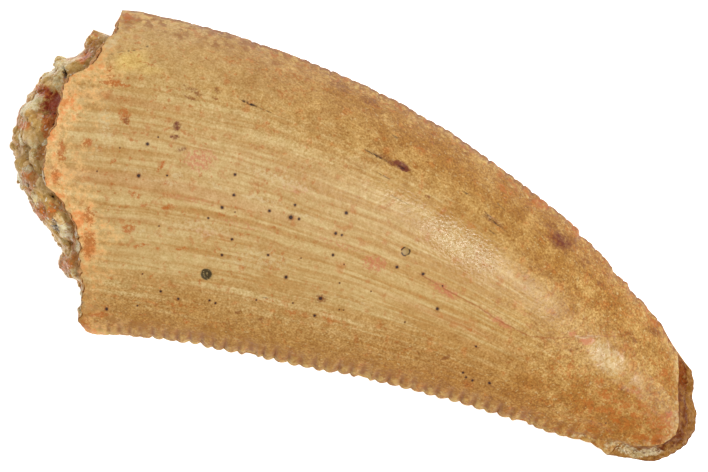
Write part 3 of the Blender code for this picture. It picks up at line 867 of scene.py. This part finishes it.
def stone_grains(skin, place, out, outside):
    """Angular sand grains that stand on the stone, half sunk in it."""
    rng = np.random.default_rng(5)
    ways, faces = ball_of(GRAIN_DETAIL)
    chosen = rng.choice(len(place), GRAINS, p=outside / outside.sum())
    for number in chosen:
        size = GRAIN_SIZES[0] + (GRAIN_SIZES[1] - GRAIN_SIZES[0]) * rng.random() ** 2
        facets = rng.normal(size=(GRAIN_FACETS, 3))
        facets /= np.linalg.norm(facets, axis=1)[:, None]
        reach = np.minimum(1.0, 0.72 / np.maximum(0.3, (ways @ facets.T).max(1)))
        shape = ways * reach[:, None] * (1, 1 - 0.3 * rng.random(), 1 - 0.3 * rng.random())
        spin = np.linalg.qr(rng.normal(size=(3, 3)))[0]
        points = place[number] - out[number] * size * GRAIN_SINK + shape @ spin * size
        points[:, 2] = np.clip(points[:, 2], 0.02, None)
        marks = {name: values.mean() for name, values in stone_marks(points).items()}
        numbers = skin.add(points, cell=rng.random(), crease=GRAIN_CREASE, **marks)
        skin.cover(numbers[faces].tolist(), 0)


def make_stone(material):
    skin = Skin()
    stone_grains(skin, *stone_body(skin))
    return skin.build("sandstone_surface", [material], STONE_SHARP)


def tone(red, green, blue):
    """The colour that shows as the given one on screen, 0 to 255, under the stage's lights and gloss."""
    shares = np.array((red, green, blue)) / 255
    linear = np.where(shares > 0.04045, ((shares + 0.055) / 1.055) ** 2.4, shares / 12.92)
    return (*(np.maximum(linear - np.array(GLOSS), 0.004) / BRIGHTNESS).tolist(), 1)


# The colours of the enamel.
CREAM = tone(205, 168, 109)
GOLD = tone(195, 149, 80)
OCHRE = tone(178, 128, 64)
TAWNY = tone(172, 117, 56)
UMBER = tone(169, 117, 55)
PALE_STREAK = tone(219, 190, 132)
TAN_STREAK = tone(190, 142, 80)
ROSE = tone(204, 150, 102)
PINK = tone(204, 120, 86)
MILKY = tone(230, 208, 160)
STRAW = tone(209, 166, 98)
YELLOW = tone(232, 196, 118)
APRICOT = tone(250, 200, 132)
ORANGE = tone(234, 142, 78)
RUST = tone(188, 104, 44)
SIENNA = tone(165, 110, 48)
BROWN = tone(136, 80, 32)
PURPLE = tone(114, 54, 20)
PLUM = tone(150, 92, 34)
# Brown stain and painted shade for the gaps between the denticles.
GAP_SHADE_BROWN = tone(150, 92, 8)
LEDGE = tone(162, 108, 48)
CHIP_BROWN = tone(148, 108, 64)
BLACK = tone(62, 38, 14)
GREEN_BLACK = tone(72, 62, 34)
GREY = tone(150, 128, 84)
HAIR_RED = tone(162, 90, 46)

# The colours of the fracture at the tip and of the broken wall at the base.
FRACTURE_DARK = tone(120, 70, 34)
FRACTURE_BROWN = tone(148, 100, 58)
FRACTURE_LOWER = tone(160, 114, 60)
FRACTURE_TAN = tone(170, 124, 70)
# Painted shade for the recess at the tip, dark red-brown.
FRACTURE_SHADE_RED = tone(142, 78, 36)
FRACTURE_FLECK = tone(186, 142, 88)
FRACTURE_PALE = tone(222, 200, 156)
WALL_SAND = tone(210, 160, 104)
WALL_ORANGE = tone(206, 138, 84)
WALL_LOWER = tone(164, 116, 66)
WALL_WHITE = tone(220, 204, 172)
WALL_FLECK = tone(226, 192, 146)
PORE = tone(106, 56, 24)

# The colours of the sandstone. A grain is (where on the count of the grains its colour begins, colour).
SAND = tone(222, 176, 104)
SAND_GRAINS = (
    (0.2, tone(204, 164, 98)), (0.45, tone(236, 196, 134)), (0.65, tone(206, 142, 82)),
    (0.86, tone(240, 222, 178)),
)
SAND_LIGHT = tone(230, 190, 120)
SAND_DARK = tone(170, 118, 62)
# Painted shade for the creases between the lumps.
SAND_CREASE_SHADE = tone(156, 104, 50)
GLINT = tone(250, 240, 214)

# Marks from the mesh, as (measure, colour, size of its ragged edge, most): stains, with painted highlights
# among the enamel's white marks and painted shadow among the sandstone's dark ones.
ENAMEL_STAINS_AND_HIGHLIGHTS = (
    ("pink", PINK, 0.1, 0.7), ("white", MILKY, 0.1, 0.5), ("orange", RUST, 0.1, 0.8),
    ("brown", BROWN, 0.1, 0.75), ("purple", PURPLE, 0.12, 0.85),
)
SAND_STAINS_AND_SHADE = (
    ("brown", tone(178, 116, 58), 0.2, 0.85), ("pale", tone(242, 224, 170), 0.14, 0.75),
    ("orange", tone(218, 122, 60), 0.14, 0.85), ("red", tone(164, 68, 8), 0.2, 0.97),
    ("dark", tone(66, 50, 30), 0.1, 0.95),
)


class Paint:
    """A material whose colour is laid on in coats, with short calls that add a node and give its output.

    Any input can be an output of another node, a plain value, or the name of a measure of the mesh.
    """

    def __init__(self, name):
        self.material = bpy.data.materials.new(name)
        self.material.use_nodes = True
        self.tree = self.material.node_tree
        coordinates = self.tree.nodes.new("ShaderNodeTexCoord").outputs["Object"]
        self.place = self.vector("MULTIPLY", coordinates, (1 / MM,) * 3)
        self.plan = self.vector("MULTIPLY", self.place, (1, 1, 0))
        self.colour = None

    def set(self, socket, value):
        if isinstance(value, str):
            node = self.node("ShaderNodeAttribute", attribute_type="GEOMETRY", attribute_name=value)
            value = node.outputs["Fac"]
        if isinstance(value, bpy.types.NodeSocket):
            self.tree.links.new(value, socket)
        else:
            socket.default_value = value

    def node(self, kind, *inputs, **settings):
        node = self.tree.nodes.new(kind)
        for name, value in settings.items():
            setattr(node, name, value)
        for socket, value in zip(node.inputs, inputs):
            self.set(socket, value)
        return node

    def number(self, operation, *inputs):
        return self.node("ShaderNodeMath", *inputs, operation=operation).outputs[0]

    def plus(self, one, other):
        return self.number("ADD", one, other)

    def linear(self, value, by, plus):
        return self.number("MULTIPLY_ADD", value, by, plus)

    def times(self, *values):
        total = values[0]
        for value in values[1:]:
            total = self.number("MULTIPLY", total, value)
        return total

    def vector(self, operation, *inputs):
        node = self.node("ShaderNodeVectorMath", *inputs, operation=operation)
        return node.outputs["Value" if operation in ("DISTANCE", "LENGTH") else "Vector"]

    def scaled(self, vector, by):
        out = self.vector("SCALE", vector)
        self.set(out.node.inputs["Scale"], by)
        return out

    def flat(self, x, y):
        return self.node("ShaderNodeCombineXYZ", x, y, 0.0).outputs[0]

    def grain(self, size, detail=2.0, rough=0.5, at=None, output="Fac"):
        """Soft noise, mostly between 0.3 and 0.7, with features about as large as size and finer ones."""
        node = self.node("ShaderNodeTexNoise", noise_dimensions="3D")
        self.set(node.inputs["Vector"], self.place if at is None else at)
        self.set(node.inputs["Scale"], 1 / size)
        self.set(node.inputs["Detail"], detail)
        self.set(node.inputs["Roughness"], rough)
        return node.outputs[output]

    def step(self, value, low, high, most=1.0):
        """0 below low and the most above high, or the other way round where low is the higher."""
        node = self.node("ShaderNodeMapRange", value, low, high, 0.0, most, interpolation_type="SMOOTHSTEP")
        return node.outputs["Result"]

    def spots(self, size, low, high, most=1.0, detail=3):
        """Spots about as large as size, where noise is past low, or below it where low is the higher."""
        return self.step(self.grain(size, detail), low, high, most)

    def ragged(self, mark, size, most):
        """A mark from the mesh that breaks up and fades towards its edge."""
        rough = self.linear(self.grain(size, 4, 0.75), 4.6, -2.3)
        return self.times(self.step(self.plus(mark, rough), 0.0, 0.9, most), self.step(mark, 0.02, 0.35))

    def mix(self, share, one, other):
        node = self.node("ShaderNodeMix", data_type="RGBA", blend_type="MIX")
        self.set(node.inputs[0], share)
        self.set(node.inputs[6], one)
        self.set(node.inputs[7], other)
        return node.outputs[2]

    def coat(self, colour, *shares):
        """Lays a colour over what is there, as strongly as the shares multiplied."""
        self.colour = self.mix(self.times(*shares), self.colour, colour)

    def shaded(self, grain, amount):
        """The colour made lighter and darker by a grain, and the darker the warmer."""
        change = self.scaled(GRAIN_TINT, self.times(self.number("SUBTRACT", grain, 0.5), amount))
        factor = self.vector("MAXIMUM", self.vector("ADD", change, (1.0, 1.0, 1.0)), (0.15, 0.15, 0.15))
        return self.vector("MULTIPLY", self.colour, factor)

    def finish(self, ior, roughness, height, depth):
        """Gives the shader its colour, its gloss and a bump of the given height, depth millimetres deep."""
        bump = self.node("ShaderNodeBump")
        self.set(bump.inputs["Height"], height)
        self.set(bump.inputs["Distance"], depth * MM)
        values = {
            "Base Color": self.colour, "Specular Tint": GLOSS_TINT, "IOR": ior,
            "Roughness": roughness, "Normal": bump.outputs["Normal"],
        }
        for name, value in values.items():
            self.set(self.tree.nodes["Principled BSDF"].inputs[name], value)
        return self.material


def strayed(paint, size, amount):
    """Places in plan that stray a little, half the amount on average, so that small marks are uneven."""
    return paint.vector("ADD", paint.plan, paint.scaled(paint.grain(size, output="Color"), amount))


def ellipses(paint, marks, stray=0.05):
    """How strongly small sharp marks cover a point of the near face."""
    plan = strayed(paint, 0.12, stray)
    most = 0.0
    for x, y, length, width, degrees, strength in marks:
        centre = on_tooth(x, y) + stray / 2
        at = paint.node(
            "ShaderNodeMapping", plan, (*centre, 0), (0, 0, TURN - math.radians(degrees)),
            (length * PIXEL, width * PIXEL, 1), vector_type="TEXTURE",
        )
        off = paint.vector("LENGTH", paint.vector("MULTIPLY", at.outputs[0], (1, 1, 0)))
        most = paint.number("MAXIMUM", most, paint.step(off, 1.3, 0.4, strength))
    return most


def dots(paint, marks, stray=0.04):
    """Distance to the nearest of round marks, as a share of its radius."""
    plan = paint.vector("MULTIPLY", strayed(paint, 0.08, stray), (1, 1, 0))
    least = 9.0
    for x, y, radius in marks:
        off = paint.vector("DISTANCE", plan, (*(on_tooth(x, y) + stray / 2), 0))
        least = paint.number("MINIMUM", least, paint.number("DIVIDE", off, radius * PIXEL))
    return least


def hairline_marks():
    """The long hairline as a chain of narrow marks that overlap a little."""
    marks = []
    for (x0, y0), (x1, y1) in itertools.pairwise(HAIRLINE):
        degrees = math.degrees(math.atan2(y1 - y0, x1 - x0))
        half = math.hypot(x1 - x0, y1 - y0) * 0.62
        marks.append(((x0 + x1) / 2, (y0 + y1) / 2, half, HAIRLINE_WIDTH, degrees, HAIRLINE_STRENGTH))
    return marks


def ground_colour(paint):
    """The enamel before stains: cream along the ridge, ochre and brown to the edges, gold to the tip."""
    paint.colour = paint.mix(paint.step("along", 6, 15, 0.8), CREAM, GOLD)
    low = paint.plus("from_distal", paint.grain(1.5))
    low_colour = paint.mix(paint.step("along", 7, 14), OCHRE, TAWNY)
    paint.coat(low_colour, paint.step(low, 3.4, 1.1, 0.92))
    high = paint.plus("from_mesial", paint.grain(1.3))
    browned = paint.times(paint.step(high, 3.8, 0.9, 0.95), paint.step("along", -1, 9))
    paint.coat(UMBER, browned, paint.step("along", 24, 15))


def streaks(paint):
    """Growth lines drawn out from base to tip, a little wavy, over the body of the crown."""
    body = paint.times(
        paint.step("along", 18, 12), paint.step("from_mesial", 1.0, 3.0),
        paint.step("from_distal", 0.4, 2.4), paint.linear("polish", -0.5, 1.0),
    )
    wave = paint.linear(paint.grain(2.4), 0.24, -0.12)
    line = paint.flat(paint.times("along", 0.034), paint.plus("across", wave))
    for at, size, most in ((line, 0.08, 0.6), (line, 0.14, 0.65), (line, 0.28, 0.6), (None, 0.2, 0.15)):
        grain = paint.grain(size, at=at)
        paint.coat(PALE_STREAK, paint.step(grain, 0.5, 0.68, most), body)
        paint.coat(TAN_STREAK, paint.step(grain, 0.5, 0.32, most), body)
    paint.coat(ROSE, paint.step(paint.grain(0.7, 1, at=line), 0.46, 0.3, 0.45), body)
    paint.coat(YELLOW, "warm")


def mottle(paint):
    """Freckles and clouds of lighter and darker enamel, strongest towards the mesial edge and the tip, with
    pale specks that are painted glints.
    """
    paint.coat(TAN_STREAK, paint.spots(0.8, 0.5, 0.7, 0.35))
    worn = paint.number("MAXIMUM", paint.step("from_mesial", 3.8, 1.4), paint.step("along", 12, 17))
    worn = paint.times(worn, paint.step("along", -4, 10))
    for size in (0.9, 0.4):
        paint.coat(SIENNA, paint.spots(size, 0.5, 0.66, 0.4, 5), worn)
        paint.coat(STRAW, paint.spots(size, 0.5, 0.34, 0.4, 5), worn)
    paint.coat(RUST, paint.spots(0.3, 0.56, 0.7, 0.4, 4))
    paint.coat(RUST, paint.spots(0.16, 0.62, 0.7, 0.55), paint.step("along", 10, 5))
    worn = paint.number("MAXIMUM", worn, paint.step("from_distal", 2.6, 1.0))
    even = paint.plus(paint.linear("polish", -0.6, 1.0), paint.step("along", 14, 17, 0.15))
    for size, detail, rough, more, least in ((0.25, 5, 0.9, 1.3, 0.9), (0.06, 1, 0.5, 1.0, 0.5)):
        amount = paint.times(paint.linear(worn, more, least), even)
        paint.colour = paint.shaded(paint.grain(size, detail, rough), amount)
    # Pale specks over the mottled enamel: painted glints.
    paint.coat(PALE_STREAK, paint.spots(0.1, 0.6, 0.72, 0.6), worn, even)


def rim_colours(paint):
    """The orange and crumbly rim of the break."""
    rough = paint.linear(paint.grain(0.2, 4, 0.75), 4.4, -2.2)
    rim = paint.plus("rim", paint.plus(rough, paint.linear(paint.grain(0.6), 2.4, -1.2)))
    paint.coat(APRICOT, paint.step(rim, 1.1, -0.1, 0.75), "rim_stain")
    paint.coat(ORANGE, paint.step(rim, 0.3, -0.5, 0.8), "rim_stain")
    crumbly = paint.shaded(paint.grain(0.14, 4, 0.8), 1.5)
    paint.coat(crumbly, paint.step("rim", 0.9, 0.3), "rim_stain")


def edge_colours(paint):
    """The ledges, the tops of the denticles and the gaps between them along the two edges, the gaps darkened
    with brown stain and painted shade.
    """
    ledge = paint.plus("from_distal", paint.grain(0.4))
    band = paint.times(paint.step(ledge, 0.5, 0.8), paint.step(ledge, 1.5, 1.0))
    paint.coat(LEDGE, band, paint.spots(0.4, 0.42, 0.6, 0.6), paint.step("along", 16, 8))
    inner = paint.plus("from_mesial", paint.grain(0.3))
    band = paint.times(paint.step(inner, 0.4, 0.55), paint.step(inner, 1.2, 0.7))
    paint.coat(PLUM, band, paint.spots(0.35, 0.46, 0.58, 0.7), paint.step("along", 7, 4))
    paint.coat(YELLOW, paint.step("from_distal", 0.35, 0.05), paint.spots(0.2, 0.42, 0.6, 0.5))
    edge = paint.step("from_mesial", 0.45, 0.15)
    paint.coat(YELLOW, edge, paint.spots(0.16, 0.5, 0.66, 0.5))
    paint.coat(RUST, edge, paint.spots(0.22, 0.46, 0.36, 0.6))
    paint.coat(BROWN, paint.step("from_mesial", 0.1, 0.02), paint.spots(0.3, 0.66, 0.4, 0.85))
    # Brown stain and painted shade in the gaps between the denticles.
    gap = paint.times(paint.step("gap", 0.16, 0.7), paint.spots(0.25, 0.25, 0.5, 0.85))
    paint.coat(GAP_SHADE_BROWN, gap, paint.step("from_distal", 0.0, 0.14))
    paint.coat(MILKY, "end", paint.spots(0.15, 0.4, 0.62, 0.4))


def stained(paint):
    """Stains, chips and painted highlights where the photograph shows them, and the veins of the tip."""
    # The white marks are partly painted highlights on the polished ridge.
    for name, colour, size, most in ENAMEL_STAINS_AND_HIGHLIGHTS:
        paint.coat(colour, paint.ragged(name, size, most))
    off_middle = paint.number("ABSOLUTE", paint.number("SUBTRACT", paint.grain(0.32, 4), 0.5))
    veins = paint.times(paint.step(off_middle, 0.03, 0.008, 0.4), paint.step("along", 15, 17))
    paint.coat(RUST, veins, "near_side", paint.step("polish", 0.5, 0.0))
    chip = paint.mix(paint.spots(0.12, 0.42, 0.58), CHIP_BROWN, MILKY)
    chip = paint.mix(paint.spots(0.16, 0.54, 0.44), chip, GOLD)
    paint.coat(chip, paint.ragged("chip", 0.1, 0.8))


def small_marks(paint):
    """The hairline, the cracks, the specks, the grey disc and the green pit, on the near face alone."""
    near_side = paint.step("near_side", 0.4, 0.6)
    paint.coat(HAIR_RED, ellipses(paint, hairline_marks()), near_side)
    paint.coat(BLACK, ellipses(paint, CRACKS), paint.spots(0.1, 0.3, 0.55), near_side)
    speck = dots(paint, SPECKS)
    paint.coat(BROWN, paint.step(speck, 1.5, 0.7, 0.55), near_side)
    paint.coat(BLACK, paint.step(speck, 0.88, 0.45, 0.95), near_side)
    disc = dots(paint, (GREY_DISC,))
    ring = paint.times(paint.step(disc, 1.15, 0.95), paint.step(disc, 0.6, 0.85), near_side)
    paint.coat(BLACK, ring, paint.spots(0.14, 0.34, 0.5, 0.95))
    paint.coat(GREY, paint.step(disc, 0.9, 0.6, 0.5), near_side)
    pit_colour = paint.mix(paint.spots(0.06, 0.56, 0.68), GREEN_BLACK, GREY)
    paint.coat(pit_colour, paint.step(dots(paint, (GREEN_SPECK,)), 1.15, 0.85, 0.95), near_side)


def enamel_paint():
    """Fossil enamel with all its stains, dull and gritty but for the polished ridge."""
    paint = Paint("enamel")
    for lay_on in (ground_colour, streaks, mottle, rim_colours, edge_colours, stained, small_marks):
        lay_on(paint)
    grit = paint.grain(0.12, 3)
    roughness = paint.linear("polish", -0.28, paint.linear(grit, 0.4, 0.28))
    brushed = paint.flat(paint.times("along", 0.7), "across")
    wrinkle = paint.times(paint.grain(0.09, at=brushed), "polish", paint.step("along", 17, 15, 1.7))
    height = paint.plus(paint.times(grit, paint.linear("polish", -0.8, 1.0)), wrinkle)
    return paint.finish(ENAMEL_IOR, roughness, height, 0.02)


def broken_paint():
    """Dentine where the tooth has broken: brown and red at the tip, orange and whitish at the base."""
    paint = Paint("broken_dentine")
    paint.colour = paint.mix(paint.spots(0.3, 0.4, 0.56), FRACTURE_DARK, FRACTURE_BROWN)
    paint.coat(FRACTURE_LOWER, paint.step("depth", 0.4, 0.8, 0.7))
    paint.coat(FRACTURE_TAN, paint.ragged("tan", 0.14, 0.85))
    # Painted shade in the recess between the enamel's edge and the fracture.
    paint.coat(FRACTURE_SHADE_RED, paint.ragged("red", 0.1, 0.9))
    paint.coat(FRACTURE_FLECK, paint.spots(0.14, 0.56, 0.68, 0.5))
    paint.coat(FRACTURE_PALE, paint.ragged("pale", 0.1, 0.85))
    fracture = paint.colour
    paint.colour = paint.mix(paint.spots(0.25, 0.4, 0.6), WALL_SAND, WALL_ORANGE)
    paint.coat(WALL_LOWER, paint.step("depth", 0.3, 0.75, 0.85))
    paint.coat(WALL_WHITE, paint.ragged("pale", 0.1, 0.95))
    paint.coat(WALL_FLECK, paint.spots(0.12, 0.56, 0.7, 0.7))
    paint.colour = paint.mix(paint.step("wall", 0.4, 0.6), fracture, paint.colour)
    paint.coat(PORE, paint.spots(0.12, 0.42, 0.3, 0.6))
    paint.colour = paint.shaded(paint.grain(0.16, 4, 0.9), 2.6)
    return paint.finish(BROKEN_IOR, BROKEN_ROUGHNESS, paint.grain(0.08, 3), 0.05)


def stone_paint():
    """Glassy honey-coloured sand grains in a paler cement, stained red and orange."""
    paint = Paint("sandstone")
    paint.colour = SAND
    for start, colour in SAND_GRAINS:
        paint.coat(colour, paint.step("cell", start, start + 0.02))
    paint.coat(SAND_LIGHT, paint.spots(0.5, 0.48, 0.62, 0.5))
    paint.coat(SAND_DARK, paint.spots(0.25, 0.46, 0.32, 0.5, 4))
    # The dark marks among these are partly painted shadow in holes and gaps.
    for name, colour, size, most in SAND_STAINS_AND_SHADE:
        paint.coat(colour, paint.ragged(name, size, most))
    # Painted shade: the creases between the coarse lumps darkened.
    paint.coat(SAND_CREASE_SHADE, paint.step("crease", 0.62, 0.88, 0.4))
    paint.colour = paint.shaded(paint.grain(0.16, 4, 0.9), 2.0)
    paint.coat(GLINT, paint.spots(0.1, 0.62, 0.7, 0.85), paint.step("red", 0.5, 0.1))
    roughness = paint.linear(paint.spots(0.2, 0.42, 0.58), 0.3, 0.08)
    return paint.finish(GLASSY_IOR, roughness, paint.grain(0.12, 3), 0.035)


# The stage: a white floor that glows a little, an even pale world and two soft lights high over the tooth.
# A light is (the way to it, its width, its power); their shines lie along the ridge of the near face.
FLOOR_SIZE = 2.0
FLOOR_LOOKS = {
    "Base Color": (0.93, 0.93, 0.93, 1), "Roughness": 0.9,
    "Emission Color": (1, 1, 1, 1), "Emission Strength": 0.75,
}
LIGHT_DISTANCE = 0.3
LIGHTS = (((0.335, 0.2, 0.92), 0.07, 0.34), ((0.53, 0.12, 0.84), 0.035, 0.32))
WORLD_STRENGTH = 0.55


def make_floor():
    half = FLOOR_SIZE / 2
    corners = [(-half, -half, 0), (half, -half, 0), (half, half, 0), (-half, half, 0)]
    data = bpy.data.meshes.new("floor")
    data.from_pydata(corners, [], [(0, 1, 2, 3)])
    material = bpy.data.materials.new("floor")
    material.use_nodes = True
    for name, value in FLOOR_LOOKS.items():
        material.node_tree.nodes["Principled BSDF"].inputs[name].default_value = value
    data.materials.append(material)
    floor = bpy.data.objects.new("floor", data)
    bpy.context.scene.collection.objects.link(floor)


def make_light(way, width, power):
    data = bpy.data.lights.new("softbox", "AREA")
    data.shape = "SQUARE"
    data.size = width
    data.energy = power
    light = bpy.data.objects.new("softbox", data)
    way = Vector(way).normalized()
    light.location = way * LIGHT_DISTANCE
    light.rotation_euler = way.to_track_quat("Z", "Y").to_euler()
    bpy.context.scene.collection.objects.link(light)


def make_world():
    world = bpy.data.worlds.new("studio")
    world.use_nodes = True
    background = world.node_tree.nodes["Background"]
    background.inputs["Color"].default_value = (1, 1, 1, 1)
    background.inputs["Strength"].default_value = WORLD_STRENGTH
    bpy.context.scene.world = world


def make_camera():
    """A long lens straight above the tooth, turned as the photograph was."""
    data = bpy.data.cameras.new("camera")
    data.lens = LENS
    data.sensor_width = SENSOR
    data.clip_start = 0.01
    camera = bpy.data.objects.new("camera", data)
    middle = (np.array(PHOTO_MIDDLE) - ORIGIN_IN_PHOTO) * (PIXEL, -PIXEL)
    at = RIGHT * middle[0] + UP * middle[1] + (0, 0, FOCUS_HEIGHT + CAMERA_DISTANCE)
    camera.location = Vector(at * MM)
    camera.rotation_euler = (0, 0, TURN)
    bpy.context.scene.collection.objects.link(camera)
    bpy.context.scene.camera = camera


def dress(piece, node):
    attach(piece, "root")
    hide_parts(node)


dress(make_tooth([enamel_paint(), broken_paint()]), "tooth")
dress(make_stone(stone_paint()), "sandstone_plug")
make_floor()
for light in LIGHTS:
    make_light(*light)
make_world()
make_camera()
bpy.context.scene.view_settings.view_transform = "Standard"
